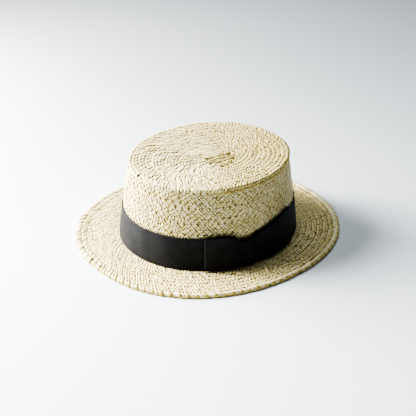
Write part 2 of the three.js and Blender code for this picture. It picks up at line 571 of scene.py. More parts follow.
def oval_points(
    angle: Array,
    half_width: Array | float,
    half_length: Array | float,
    roundness: float,
    height: Array | float,
) -> Array:
    """Returns points of an oval with the given half axes.

    Args:
        angle: Oval angles in radians.
        half_width: Half axis along X.
        half_length: Half axis along Y.
        roundness: Exponent of the oval, 2 for an ellipse.
        height: Z of the points.

    Returns:
        Rows of x, y, z.
    """
    power = 2 / roundness
    cos, sin = np.cos(angle), np.sin(angle)
    x = half_width * np.sign(cos) * np.abs(cos) ** power
    y = half_length * np.sign(sin) * np.abs(sin) ** power
    return np.stack(np.broadcast_arrays(x, y, height), axis=-1)


def oval_normals(
    points: Array,
    half_width: Array | float,
    half_length: Array | float,
    roundness: float,
    lean: float,
) -> Array:
    """Returns outward unit normals of an oval wall.

    Args:
        points: Points of the wall.
        half_width: Half axis along X at each point.
        half_length: Half axis along Y at each point.
        roundness: Exponent of the oval.
        lean: Rise of the normal for each unit of its run.

    Returns:
        Unit vectors as rows of x, y, z.
    """
    power = roundness - 1
    x, y = points[..., 0], points[..., 1]
    gradient_x = np.sign(x) * np.abs(x / half_width) ** power / half_width
    gradient_y = np.sign(y) * np.abs(y / half_length) ** power / half_length
    length = np.hypot(gradient_x, gradient_y) + 1e-9
    raw = np.stack([gradient_x / length, gradient_y / length, np.full_like(length, lean)], axis=-1)
    return raw / np.linalg.norm(raw, axis=-1, keepdims=True)


@dataclass(frozen=True)
class CrownForm:
    """The block under the crown's strands: flat tip, rolled or crisp edge and leaning side.

    Rows count outward from the start of the plait, in the middle of the tip, and go on down
    the side.
    """

    base_half_width: float
    base_half_length: float
    foot: float
    height: float
    rise: float = 1.5  # how far the strands stand off the block
    lean_width: float = 10.1
    lean_length: float = 9.8
    roundness: float = 2.06
    lip_bearing: float = math.radians(30)
    lip_overhang: float = 1.5
    crisp_radius: float = 1.2
    soft_radius: float = 3.4
    core_x: float = 21.0
    core_y: float = 1.0
    core_half_length: float = 15.0
    start_row: float = -0.25  # row at the inner edge of the plait at bearing 0
    ridge_row: float = 12.83  # row at the tip's edge on the crisp lip's bearing
    side_pitch: float = 5.85
    lip_depth: float = 1.6  # how far the crisp lip reaches down past its roll
    undercut_ease: float = 1.8
    lip_shadow_row: float = 0.2  # where the painted shadow under the crisp lip is darkest, in rows past the edge
    lip_shadow_reach: float = 0.24
    groove_reach: float = 1.4
    groove_depth: float = 2.6
    groove_rows: int = 4  # the grooves stay within these rows of the core
    core_grooves: tuple[tuple[float, float, float, float], ...] = (
        (9.1, -11.7, 13.2, 19.0),
        (16.4, -14.5, 17.0, 16.0),
        (23.0, -9.5, 24.5, 15.0),
        (32.0, -9.5, 31.5, 8.0),
    )

    @classmethod
    def from_frame(cls) -> "CrownForm":
        """Reads the form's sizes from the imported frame.

        Returns:
            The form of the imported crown.
        """
        low, high = node_box("crown")
        return cls(high.x, high.y, low.z, high.z)

    def softness(self, angle: Array) -> Array:
        """Returns 0 at the crisp lip and 1 opposite it."""
        return 0.5 - 0.5 * np.cos(angle - self.lip_bearing)

    def half_axes(self, height: Array | float, stand: Array | float) -> tuple[Array, Array]:
        """Returns the half axes of the side.

        Args:
            height: Heights to take them at.
            stand: How far they stand out from the outer face.

        Returns:
            The half axes along X and along Y.
        """
        share = (height - self.foot) / (self.height - self.foot)
        half_width = self.base_half_width - self.lean_width * share + stand
        half_length = self.base_half_length - self.lean_length * share + stand
        return half_width, half_length

    def side(self, angle: Array, height: Array | float, stand: Array | float) -> Array:
        """Returns points beside the side's outer face, out by stand."""
        half_width, half_length = self.half_axes(height, stand)
        return oval_points(angle, half_width, half_length, self.roundness, height)

    def side_normal(self, angle: Array, height: Array | float) -> Array:
        """Returns outward normals of the side.

        Args:
            angle: Oval angles in radians.
            height: Heights to take them at.

        Returns:
            Unit vectors as rows of x, y, z.
        """
        half_width, half_length = self.half_axes(height, 0)
        points = oval_points(angle, half_width, half_length, self.roundness, height)
        lean = self.lean_width / (self.height - self.foot)
        return oval_normals(points, half_width, half_length, self.roundness, lean)

    def radius(self, angle: Array) -> Array:
        """Returns the radius of the tip's edge at a bearing."""
        return lerp(self.crisp_radius, self.soft_radius, self.softness(angle))

    def core(self, angle: Array) -> Array:
        """Finds where the rows start.

        Args:
            angle: Oval angles in radians.

        Returns:
            The point of the core line that each bearing starts from, as rows of x, y.
        """
        x = np.full_like(angle, self.core_x)
        y = self.core_y + self.core_half_length * np.sin(angle)
        return np.stack([x, y], axis=-1)

    def edge_row(self, angle: Array) -> Array:
        """Returns the row at the tip's edge, which keeps to the spiral along the crisp lip."""
        return self.ridge_row + np.sin(angle - self.lip_bearing) / TURN

    def groove(self, points: Array, row: Array, angle: Array) -> tuple[Array, Array]:
        """Measures the sunk grooves of the core, which also get painted shade, and the painted
        shadow under the crisp lip.

        Args:
            points: Points of the block.
            row: Their rows from the core.
            angle: Their oval angles in radians.

        Returns:
            How far each point is in a groove of the core, and how much painted shadow it gets under
            the crisp lip.
        """
        past = row - self.edge_row(angle)
        facing = smooth(np.cos(angle - self.lip_bearing) * 2 - 0.3)
        # painted shadow in the gap under the crisp lip, on the crisp side only
        under = facing * smooth(1 - np.abs(past - self.lip_shadow_row) / self.lip_shadow_reach)
        # how far each point lies in a core groove, which is sunk and also given painted shade
        wear_and_shade = np.zeros(points.shape[:-1])
        for start_x, start_y, end_x, end_y in self.core_grooves:
            start = np.array([start_x, start_y])
            way = np.array([end_x, end_y]) - start
            share = np.clip(((points[..., :2] - start) @ way) / (way @ way), 0, 1)
            near = start + share[..., None] * way
            apart = np.linalg.norm(points[..., :2] - near, axis=-1)
            reach = self.groove_reach * (1 + 0.35 * np.sin(share * 17 + start_x))
            wear_and_shade = np.maximum(wear_and_shade, smooth(1.25 - apart / reach) * (row < self.groove_rows))
        return wear_and_shade, under

    def undercut(self, drop: Array, angle: Array) -> Array:
        """Returns how far the side lies in under the lip.

        Args:
            drop: Depths below the tip.
            angle: Oval angles in radians.

        Returns:
            The inset at each of them, in millimetres.
        """
        crisp = 1 - self.softness(angle)
        start = self.radius(angle) + self.lip_depth
        middle = (self.height - self.foot) / 2
        entering = smooth((drop - start) / self.undercut_ease)
        leaving = np.clip((middle - drop) / (middle - start - self.undercut_ease), 0, 1)
        return self.lip_overhang * crisp * entering * leaving

    def travel(self, row: Array, angle: Array) -> tuple[Array, Array]:
        """Measures the way from the core along the block.

        Args:
            row: Rows from the core.
            angle: Oval angles in radians.

        Returns:
            The distance to each row, and the distance at which the flat of the tip ends.
        """
        radius = self.radius(angle)
        rim = self.side(angle, self.height, -self.rise - radius)[..., :2]
        flat = np.linalg.norm(rim - self.core(angle), axis=-1)
        crisp = radius * math.pi / 2 + self.lip_depth
        past = lerp(crisp, radius * math.pi / 4, self.softness(angle))
        to_edge = flat + past
        edge = self.edge_row(angle)
        inside = row / edge * to_edge
        outside = to_edge + (row - edge) * self.side_pitch
        return np.where(row < edge, inside, outside), flat

    def place(self, row: Array, angle: Array, lift: Array | float = 0.0) -> Array:
        """Returns points of the block, raised along its normal.

        Args:
            row: Rows from the core.
            angle: Oval angles in radians.
            lift: Height above the block, in millimetres.

        Returns:
            Rows of x, y, z in millimetres.
        """
        row, angle, lift = np.broadcast_arrays(row, angle, lift)
        distance, flat = self.travel(row, angle)
        radius = self.radius(angle)
        quarter = radius * math.pi / 2
        turn = np.clip((distance - flat) / radius, 0, math.pi / 2)
        down = np.clip(distance - flat - quarter, 0, None)
        drop = radius * (1 - np.cos(turn)) + down
        inset = radius * (1 - np.sin(turn)) + self.undercut(drop + self.rise, angle)
        height = self.height - self.rise - drop
        beside = self.side(angle, height, -self.rise - inset)
        core = self.core(angle)
        share = np.clip(distance / flat, None, 1)[..., None]
        on_tip = lerp(core, beside[..., :2], share)
        xy = np.where((distance < flat)[..., None], on_tip, beside[..., :2])
        points = np.concatenate([xy, height[..., None]], axis=-1)
        return points + turned(turn, self.side_normal(angle, height)) * lift[..., None]


@dataclass(frozen=True)
class BrimForm:
    """The sheet under the brim's strands: flat, with raised outer rows and a rolled rim.

    Rows count outward from the crown's foot, and go on round the rim to the underside.
    """

    inner_half_width: float
    inner_half_length: float
    outer_half_width: float
    outer_half_length: float
    rise: float = 1.6
    inner_roundness: float = 2.06
    outer_roundness: float = 2.17
    rows: int = 8
    groove_depth: float = 0.0
    rim_radius: float = 1.35
    rim_painted_shade: float = 0.8  # how dark the painted shade on the rim's outer face is
    sheet: float = 1.8  # height of the flat of the sheet
    swells: tuple[tuple[float, float], ...] = (
        (5.0, 0.0),
        (6.0, -0.35),
        (6.55, 0.75),
        (7.0, 0.35),
        (7.5, 1.0),
    )

    @classmethod
    def from_frame(cls) -> "BrimForm":
        """Reads the form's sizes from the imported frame.

        Returns:
            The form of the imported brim, which starts at the crown's foot.
        """
        crown_high = node_box("crown")[1]
        brim_high = node_box("brim")[1]
        return cls(crown_high.x, crown_high.y, brim_high.x, brim_high.y)

    def groove(self, points: Array, row: Array, angle: Array) -> tuple[Array, Array]:
        """Returns 0 for grooves, and the painted shade of each point on the rim's outer face."""
        outer = smooth((row - self.rows + 0.15) / 0.3)
        return np.zeros(points.shape[:-1]), self.rim_painted_shade * outer

    def place(self, row: Array, angle: Array, lift: Array | float = 0.0) -> Array:
        """Returns points of the sheet, raised along its normal.

        Args:
            row: Rows from the crown's foot.
            angle: Oval angles in radians.
            lift: Height above the sheet, in millimetres.

        Returns:
            Rows of x, y, z in millimetres.
        """
        row, angle, lift = np.broadcast_arrays(row, angle, lift)
        inset = self.rise + self.rim_radius
        half_width = self.outer_half_width - inset
        half_length = self.outer_half_length - inset
        inner_axes = self.inner_half_width, self.inner_half_length
        inner = oval_points(angle, *inner_axes, self.inner_roundness, 0.0)
        outer = oval_points(angle, half_width, half_length, self.outer_roundness, 0.0)
        width = np.linalg.norm(outer - inner, axis=-1)
        pitch = (width + self.rim_radius * math.pi / 2) / self.rows
        distance = row * pitch
        share = np.clip(distance / width, None, 1)
        turn = np.clip((distance - width) / self.rim_radius, 0, math.pi)
        under = np.clip(distance - width - self.rim_radius * math.pi, 0, None)
        top = self.sheet + eased_table(self.swells, np.clip(row, None, self.swells[-1][0]))
        outward = oval_normals(outer, half_width, half_length, self.outer_roundness, 0.0)
        run = self.rim_radius * np.sin(turn) - under
        points = lerp(inner, outer, share[..., None]) + outward * run[..., None]
        points[..., 2] = top - self.rim_radius * (1 - np.cos(turn))
        return points + turned(turn, outward) * lift[..., None]


# ---------------------------------------------------------------- straw


@dataclass(frozen=True)
class Strand:
    """One strand's visible stretch: a flat tube, modelled once."""

    sides: int = 6
    rings: int = 9
    crowding: float = 0.6  # how much closer the rings stand near the two ends

    def model(self) -> tuple[Array, list[tuple[int, ...]]]:
        """Models the strand with its length along Z from 0 to 1 and its half axes 1.

        Returns:
            Its vertices and its faces.
        """
        hide_selection()
        quarter = (0, 0, math.radians(90))
        bpy.ops.mesh.primitive_cylinder_add(
            vertices=self.sides, radius=1, depth=1, location=(0, 0, 0.5), rotation=quarter
        )
        strand = bpy.context.object
        bpy.ops.object.transform_apply(location=True, rotation=True, scale=True)
        bpy.ops.object.mode_set(mode="EDIT")
        bpy.ops.mesh.select_all(action="DESELECT")
        bpy.ops.mesh.select_mode(type="EDGE")
        bpy.ops.object.mode_set(mode="OBJECT")
        for edge in strand.data.edges:
            ends = [strand.data.vertices[index].co.z for index in edge.vertices]
            edge.select = abs(ends[0] - ends[1]) > 0.5
        bpy.ops.object.mode_set(mode="EDIT")
        bpy.ops.mesh.subdivide(number_cuts=self.rings - 2)
        bpy.ops.object.mode_set(mode="OBJECT")
        points = coordinates(strand)
        crowded = 0.5 - 0.5 * np.cos(math.pi * points[:, 2])
        points[:, 2] = lerp(points[:, 2], crowded, self.crowding)
        faces = [tuple(face.vertices) for face in strand.data.polygons]
        mesh = strand.data
        bpy.data.objects.remove(strand)
        bpy.data.meshes.remove(mesh)
        return points, faces


@dataclass(frozen=True)
class Plait:
    """How the strands of a row lie: all slant one way, and each row laps over the next one."""

    lift: tuple[tuple[float, float], ...]  # place along a strand, and its height there
    width: float
    spacing: float = 3.55
    pairing: float = 0.06  # how much closer the two strands of a stitch lie
    slant: float = 1.0  # run along the row for each unit across it
    thickness: float = 1.15
    roll: float = 0.14
    start: float = -0.06
    end: float = 1.06
    step: float = 0.0  # how much higher every other strand lies
    hollow: float = 0.0  # how golden the outer part of every other strand is, as painted shade on the rim
    waist: float = 0.35  # how golden the painted shade is in the dip half way along a strand
    pinch: float = 0.12  # how much narrower a strand is at that dip
    line: float = 0.0  # how golden the painted shade is at least in the line between two slack rows
    zigzag: float = 0.09  # how much farther every other strand reaches, in rows
    blunt: float = 4.0  # how square the ends are
    taper: float = 0.05  # square of the least width of an end
    waist_sharpness: float = 5.0  # how short the dip is along a strand
    seam: float = 0.75  # how golden the painted shade is on the strands' lower flanks, in the lines between them
    hole_every: int = 1  # every how many strands an end gets the strong painted shade of a wide open hole
    hole_reach: float = 0.66  # where along half a strand the painted golden shade of its end begins
    wide_hole: float = 0.75  # how golden the painted shade of a wide open end is at least
    shut_hole: float = 0.7  # how golden the painted shade of the other ends is, beside one drawn wide
    tight_hole: float = 0.5  # how golden the painted shade of the ends stays where strands lie tight
    tighten: float = 1.0  # how much tighter the strands lie away from the slack bearing
    tight_gain: float = 0.16  # how much wider strands are where they lie tight
    slack_bearing: float = 0.0
    trough: float = 0.35  # how deep the line between two slack rows is
    jitter: float = 1.0

    def tightness(self, angle: Array) -> Array:
        """Returns how tight strands lie at each bearing, 0 on the slack side."""
        away = 1 - np.cos(angle - self.slack_bearing)
        return self.tighten * smooth(away * 0.9 - 0.5)

    def stations(self, length: float) -> Array:
        """Spaces strands in pairs along a row.

        Args:
            length: The row's length in millimetres.

        Returns:
            The distances along it where strands are centred.
        """
        pairs = max(1, round(length / (2 * self.spacing)))
        first = (np.arange(pairs) + 0.5) * length / pairs
        half = length / pairs * (0.25 - self.pairing / 4)
        return np.sort(np.concatenate([first - half, first + half]))


def two_knobs(ends: float, shoulder: float, dip: float) -> tuple[tuple[float, float], ...]:
    """Returns the lift along a strand that rises as two short knobs.

    Args:
        ends: Lift at its two ends.
        shoulder: Lift where the first knob starts; the second one ends a little higher.
        dip: Lift half way along.

    Returns:
        Rows of a place along the strand and the lift there in millimetres.
    """
    first = ((-0.06, ends), (0.06, shoulder), (0.25, 1.15))
    return (*first, (0.5, dip), (0.75, 1.2), (0.93, shoulder + 0.05), (1.06, ends))


def knotty_plait() -> Plait:
    """Returns the plait of the side, whose strands rise as two short knobs each."""
    lift = two_knobs(0.2, 0.75, 0.4)
    return Plait(lift, width=2.95, waist=0.9, pinch=0.28, seam=0.85, jitter=1.05)


def ridged_plait() -> Plait:
    """Returns the plait of the brim, whose rows stand apart at the front right."""
    return Plait(
        lift=two_knobs(0.3, 0.85, 0.55),
        width=2.85,
        waist=0.8,
        pinch=0.3,
        seam=0.85,
        zigzag=0.03,
        hole_reach=0.6,
        line=0.85,
        slack_bearing=math.radians(10),
        trough=0.9,
        jitter=1.1,
    )


def stubby_plait() -> Plait:
    """Returns the plait of the tip, whose stout strands leave a hole, painted as golden shade, at
    every third.
    """
    return Plait(
        lift=two_knobs(0.2, 0.75, 0.5),
        width=3.15,
        spacing=3.6,
        pairing=0.15,
        slant=0.85,
        waist=1.0,
        pinch=0.34,
        seam=0.5,
        hole_every=3,
        hole_reach=0.5,
        zigzag=0.03,
        line=1.1,
        slack_bearing=math.radians(60),
        trough=1.2,
        jitter=1.2,
    )


def wrapped_plait() -> Plait:
    """Returns the plait of the brim's last row, whose wide strands go round the rim."""
    return Plait(
        lift=((-0.1, -0.2), (0.1, 0.5), (0.5, 0.9), (0.9, 0.95), (1.2, 0.7), (1.42, -0.3)),
        width=4.9,
        spacing=4.65,
        thickness=1.25,
        roll=0.2,
        step=0.2,
        end=1.42,
        hollow=0.65,
        zigzag=0.03,
        trough=0.0,
    )


def loose_plait() -> Plait:
    """Returns the lie of a loose pale end of straw that covers two rows."""
    return Plait(
        lift=((-0.1, 1.4), (0.3, 2.4), (1.0, 2.5), (1.7, 2.4), (2.1, 1.2)),
        width=2.6,
        slant=-0.12,
        end=2.0,
        waist=0.0,
        pinch=0.0,
        zigzag=0.0,
        seam=0.1,
        hole_reach=0.97,
        trough=0.0,
        tighten=0.0,
        jitter=0.0,
    )


@dataclass
class Row:
    """Where the strands of one run of plait are centred."""

    start: Array  # row at each strand's inner end
    angle: Array
    pitch: Array  # millimetres of one row
    speed: Array  # millimetres of one radian of bearing
    climb: float  # rows gained in one radian of bearing

    def picked(self, wanted: Array) -> "Row":
        """Returns the row with only the wanted strands."""
        kept = (self.start, self.angle, self.pitch, self.speed)
        return Row(*(column[wanted] for column in kept), self.climb)


def run_of_plait(
    form: CrownForm | BrimForm,
    plait: Plait,
    first_row: float,
    start: float,
    end: float,
    climb: float = 0.0,
) -> Row:
    """Spaces strands along a run that starts at a bearing and may climb as a spiral.

    Args:
        form: What the plait is laid on.
        plait: How its strands lie.
        first_row: Row of the run's inner edge at bearing 0.
        start: First bearing in radians.
        end: Last bearing in radians.
        climb: Rows gained in one radian.

    Returns:
        The places of the strands.
    """
    fine = np.linspace(start, end, max(400, int((end - start) / TURN * 720)))
    inner = first_row + fine * climb
    steps, run = measured(form.place(inner + 0.5, fine))
    centres = plait.stations(run[-1])
    angle = np.interp(centres, run, fine)
    speed = np.interp(centres, (run[1:] + run[:-1]) / 2, steps / np.diff(fine))
    row = first_row + angle * climb
    across = form.place(row + 0.75, angle) - form.place(row + 0.25, angle)
    pitch = 2 * np.linalg.norm(across, axis=1)
    return Row(row, angle, pitch, speed, climb)


@dataclass(frozen=True)
class Drawn:
    """What each strand of a run has of its own, drawn at random from a seed."""

    shift: Array  # millimetres along the row
    width: Array
    height: Array
    slant: Array
    roll: Array
    reach: Array  # how much farther each end goes, in rows
    hole: Array  # how much painted golden shade its ends get
    tone: Array
    grain: tuple[Array, Array]  # where on the straw's grain it starts

    @classmethod
    def draw(cls, plait: Plait, count: int, rng: np.random.Generator) -> "Drawn":
        """Draws a run's strands.

        Args:
            plait: How the strands lie.
            count: How many there are.
            rng: The source of small differences.

        Returns:
            Columns with a row for each strand.
        """

        def around(middle: float, spread: float, columns: int = 1) -> Array:
            """Draws numbers round a middle, farther apart in a looser plait."""
            return middle + rng.normal(0, spread * plait.jitter, (count, columns))

        return cls(
            shift=around(0, 0.22),
            width=plait.width * around(1, 0.1),
            height=around(0, 0.17),
            slant=plait.slant * around(1, 0.09),
            roll=around(plait.roll, 0.07),
            reach=around(0, 0.06, columns=2),
            hole=rng.uniform(0.25, 1.0, (count, 1)),
            tone=rng.beta(0.9, 1.3, (count, 1)),
            grain=(rng.integers(0, GRAINS, (count, 1)), rng.integers(0, GRAINS, (count, 1))),
        )


@dataclass
class StrawLayer:
    """Strands laid over a form as one joined mesh."""

    name: str
    form: CrownForm | BrimForm
    seed: int
    strand: Strand = field(default_factory=Strand)
    runs: list[tuple[Plait, Row]] = field(default_factory=list)
    ground: float = 0.1  # how near the floor a strand may come
    # groove_shade: how much painted shade a core groove gives for each unit of its share
    groove_shade: float = 1.6
    grain_length: float = 8.0  # V along one strand

    def lay(self, plait: Plait, row: Row) -> None:
        """Adds a run of plait."""
        self.runs.append((plait, row))

    def build(self) -> bpy.types.Object:
        """Builds the strands of every run.

        Returns:
            The joined strands as an object.
        """
        unit, faces = self.strand.model()
        rng = np.random.default_rng(self.seed)
        placed = [self._run(plait, row, unit, rng) for plait, row in self.runs]
        points, tone, shade, across, along = (np.concatenate(column) for column in zip(*placed))
        offsets = range(0, points.size // 3, len(unit))
        joined = [tuple(corner + offset for corner in face) for offset in offsets for face in faces]
        mesh = bpy.data.meshes.new(self.name)
        mesh.from_pydata((points.reshape(-1, 3) * MM).tolist(), [], joined)
        mesh.update()
        piece = add_object(self.name, mesh)
        write_attribute(piece, "tone", tone)
        write_attribute(piece, "shade", shade)
        write_uv(piece, across.ravel(), along.ravel())
        take(piece)
        bpy.ops.object.shade_smooth()
        return piece

    def _run(
        self, plait: Plait, row: Row, unit: Array, rng: np.random.Generator
    ) -> tuple[Array, ...]:
        """Places one run's strands.

        Args:
            plait: How the strands lie.
            row: Where they are centred.
            unit: The unit strand's vertices.
            rng: The source of small differences.

        Returns:
            Points, tones, shades, U and V, each with a row for each strand.
        """
        side, thick, share = (unit[:, axis][None, :] for axis in range(3))
        drawn = Drawn.draw(plait, len(row.angle), rng)
        bearing, pitch, speed = row.angle[:, None], row.pitch[:, None], row.speed[:, None]
        number = np.arange(len(row.angle))[:, None]
        odd = number % 2
        tight = plait.tightness(bearing)
        middle = np.abs(share - 0.5)
        near_end = middle * 2
        dip = smooth(1 - middle * plait.waist_sharpness)
        round_end = np.sqrt(np.clip(1 - near_end**plait.blunt, plait.taper, 1))

        turn = np.where(odd, plait.zigzag, -plait.zigzag)
        inner_end = plait.start + drawn.reach[:, :1] + turn
        outer_end = plait.end + drawn.reach[:, 1:] + turn
        place = lerp(inner_end, outer_end, share)
        width = drawn.width * (1 + plait.tight_gain * tight)
        half = width / 2 * round_end * (1 - plait.pinch * dip)
        length = np.hypot(drawn.slant, 1)
        run = drawn.slant * pitch * (place - 0.5) + drawn.shift + side * half / length
        cross = place - side * half * drawn.slant / length / pitch
        lift = np.interp(place, *zip(*plait.lift))
        lift = lift + (drawn.height + plait.step * np.where(odd, 0.5, -0.5))
        lift = lift + drawn.roll * side * half + thick * plait.thickness / 2 * round_end
        lift = lift - plait.trough * (1 - tight) * smooth((near_end - 0.5) / 0.5)
        angle = bearing + run / speed
        where = row.start[:, None] + cross + (run / speed) * row.climb
        points = self.form.place(where, angle, lift)
        # the core's grooves are sunk and painted dark; the second value is painted shadow under the
        # crisp lip and painted shade on the rim's outer face
        groove, wear_and_shade = self.form.groove(points, where, angle)
        points[..., 2] -= groove * self.form.groove_depth
        points[..., 2] = np.maximum(points[..., 2], self.ground)

        least = plait.wide_hole * (plait.hole_every > 1)
        wide_open = number % plait.hole_every == 0
        hole = np.where(wide_open, np.maximum(drawn.hole, least), drawn.hole * plait.shut_hole)
        hole = lerp(np.maximum(hole, plait.line), hole * plait.tight_hole, tight)
        # painted shade: on the strands' lower flanks, at their ends where they dive under the next
        # row, on the rim's every other strand, in the dip half way along, in the core's grooves,
        # under the crisp lip and on the rim's outer face
        dark = (
            smooth((0.35 - thick) / 0.9) * plait.seam * (1 - 0.5 * tight),
            smooth((near_end - plait.hole_reach) / (1 - plait.hole_reach)) * hole,
            plait.hollow * odd * smooth((share - 0.45) / 0.25),
            plait.waist * dip * hole,
            groove * self.groove_shade,
            wear_and_shade,
        )
        shade = np.zeros(groove.shape)
        for amount in dark:
            shade = np.maximum(shade, amount)
        shade = np.clip(shade, 0, DARKEST)
        tone = np.broadcast_to(drawn.tone, shade.shape)
        across = np.broadcast_to(side * 0.5 + 0.5, shade.shape) + drawn.grain[0]
        along = np.broadcast_to(share * self.grain_length, shade.shape) + drawn.grain[1]
        return points, tone, shade, across, along


@dataclass
class LoomGrid:
    """A flat grid of faces, which a piece bends to its shape and closes where ends meet."""

    name: str
    steps_round: int
    steps_along: int

    def build(self) -> tuple[bpy.types.Object, Array, Array]:
        """Adds the flat grid.

        Returns:
            The object, and each vertex's share round and share along.
        """
        hide_selection()
        bpy.ops.mesh.primitive_grid_add(
            x_subdivisions=self.steps_round, y_subdivisions=self.steps_along, size=1
        )
        piece = bpy.context.object
        piece.name = self.name
        piece.data.name = self.name
        for layer in list(piece.data.uv_layers):
            piece.data.uv_layers.remove(layer)
        flat = coordinates(piece) + 0.5
        return piece, flat[:, 0], flat[:, 1]

    @staticmethod
    def close(piece: bpy.types.Object) -> None:
        """Merges vertices that meet, and turns the faces outward.

        Args:
            piece: The mesh object.
        """
        take(piece)
        bpy.ops.object.mode_set(mode="EDIT")
        bpy.ops.mesh.select_all(action="SELECT")
        bpy.ops.mesh.remove_doubles(threshold=1e-5)
        bpy.ops.mesh.dissolve_degenerate(threshold=1e-6)
        bpy.ops.mesh.normals_make_consistent(inside=False)
        bpy.ops.object.mode_set(mode="OBJECT")
        bpy.ops.object.shade_smooth()


@dataclass
class Crown:
    """The crown: a backing wall, the strands of its tip and the strands of its side."""

    form: CrownForm
    finish: bpy.types.Material
    backing_finish: bpy.types.Material
    plait: Plait = field(default_factory=knotty_plait)
    tip_plait: Plait = field(default_factory=stubby_plait)
    tip_seed: int = 11
    side_seed: int = 12
    turns: int = 26  # turns of the spiral, more than reach the foot
    start: float = math.radians(-80)
    wall: float = 1.1
    under: float = 0.25  # how far the strands' block stands over the wall
    relief: float = 0.35
    sunk: float = 1.1  # how far the wall's foot reaches down behind the brim's first row
    hidden_below: float = 38.0  # the band covers what lies lower
    steps_round: int = 288
    outer_steps: int = 48
    inner_steps: int = 120

    def build(self) -> None:
        """Builds and dresses the three pieces."""
        form = self.form
        parts = (
            ("straw_tip", self.tip_plait, self.tip_seed, ("crown",)),
            ("straw_side", self.plait, self.side_seed, ()),
        )
        for name, plait, seed, nodes in parts:
            end = self.turns * TURN
            row = run_of_plait(form, plait, form.start_row, self.start, end, climb=1 / TURN)
            on_tip = row.start + 0.5 < form.edge_row(row.angle)
            seen = form.place(row.start, row.angle)[:, 2] > self.hidden_below
            layer = StrawLayer(name, form, seed)
            layer.lay(plait, row.picked(on_tip if name == "straw_tip" else ~on_tip & seen))
            finish_piece(layer.build(), self.finish, Slot.STRAW, *nodes)
        finish_piece(self._backing(), self.backing_finish, Slot.STRAW)

    def _backing(self) -> bpy.types.Object:
        """Builds the wall under the strands.

        Returns:
            The closed wall, with the plait's back as relief inside.
        """
        steps = self.outer_steps + self.inner_steps
        loom = LoomGrid("crown_backing", self.steps_round, steps)
        piece, round_share, along_share = loom.build()
        angle = round_share * TURN
        form = self.form
        switch = self.outer_steps / steps
        outer = np.clip(along_share / switch, 0, 1)
        inner = np.clip((1 - along_share) / (1 - switch), 0, 1)
        inside = along_share > switch
        share = np.where(inside, inner, outer)
        last = form.edge_row(angle) + (form.height - form.foot) / form.side_pitch
        row = share * last
        plait_row = row - form.start_row - angle / TURN
        ripple = self.relief * np.abs(np.sin(math.pi * plait_row))
        lift = np.where(inside, -self.wall - ripple * smooth(share * 12), -self.under)
        points = form.place(row, angle, lift)
        groove, _ = form.groove(points, row, angle)
        points[:, 2] -= groove * form.groove_depth
        points[:, 2] = np.maximum(points[:, 2], form.foot - self.sunk)
        set_coordinates(piece, points * MM)
        write_uv(piece, angle * ROUND_CROWN, plait_row)
        LoomGrid.close(piece)
        return piece


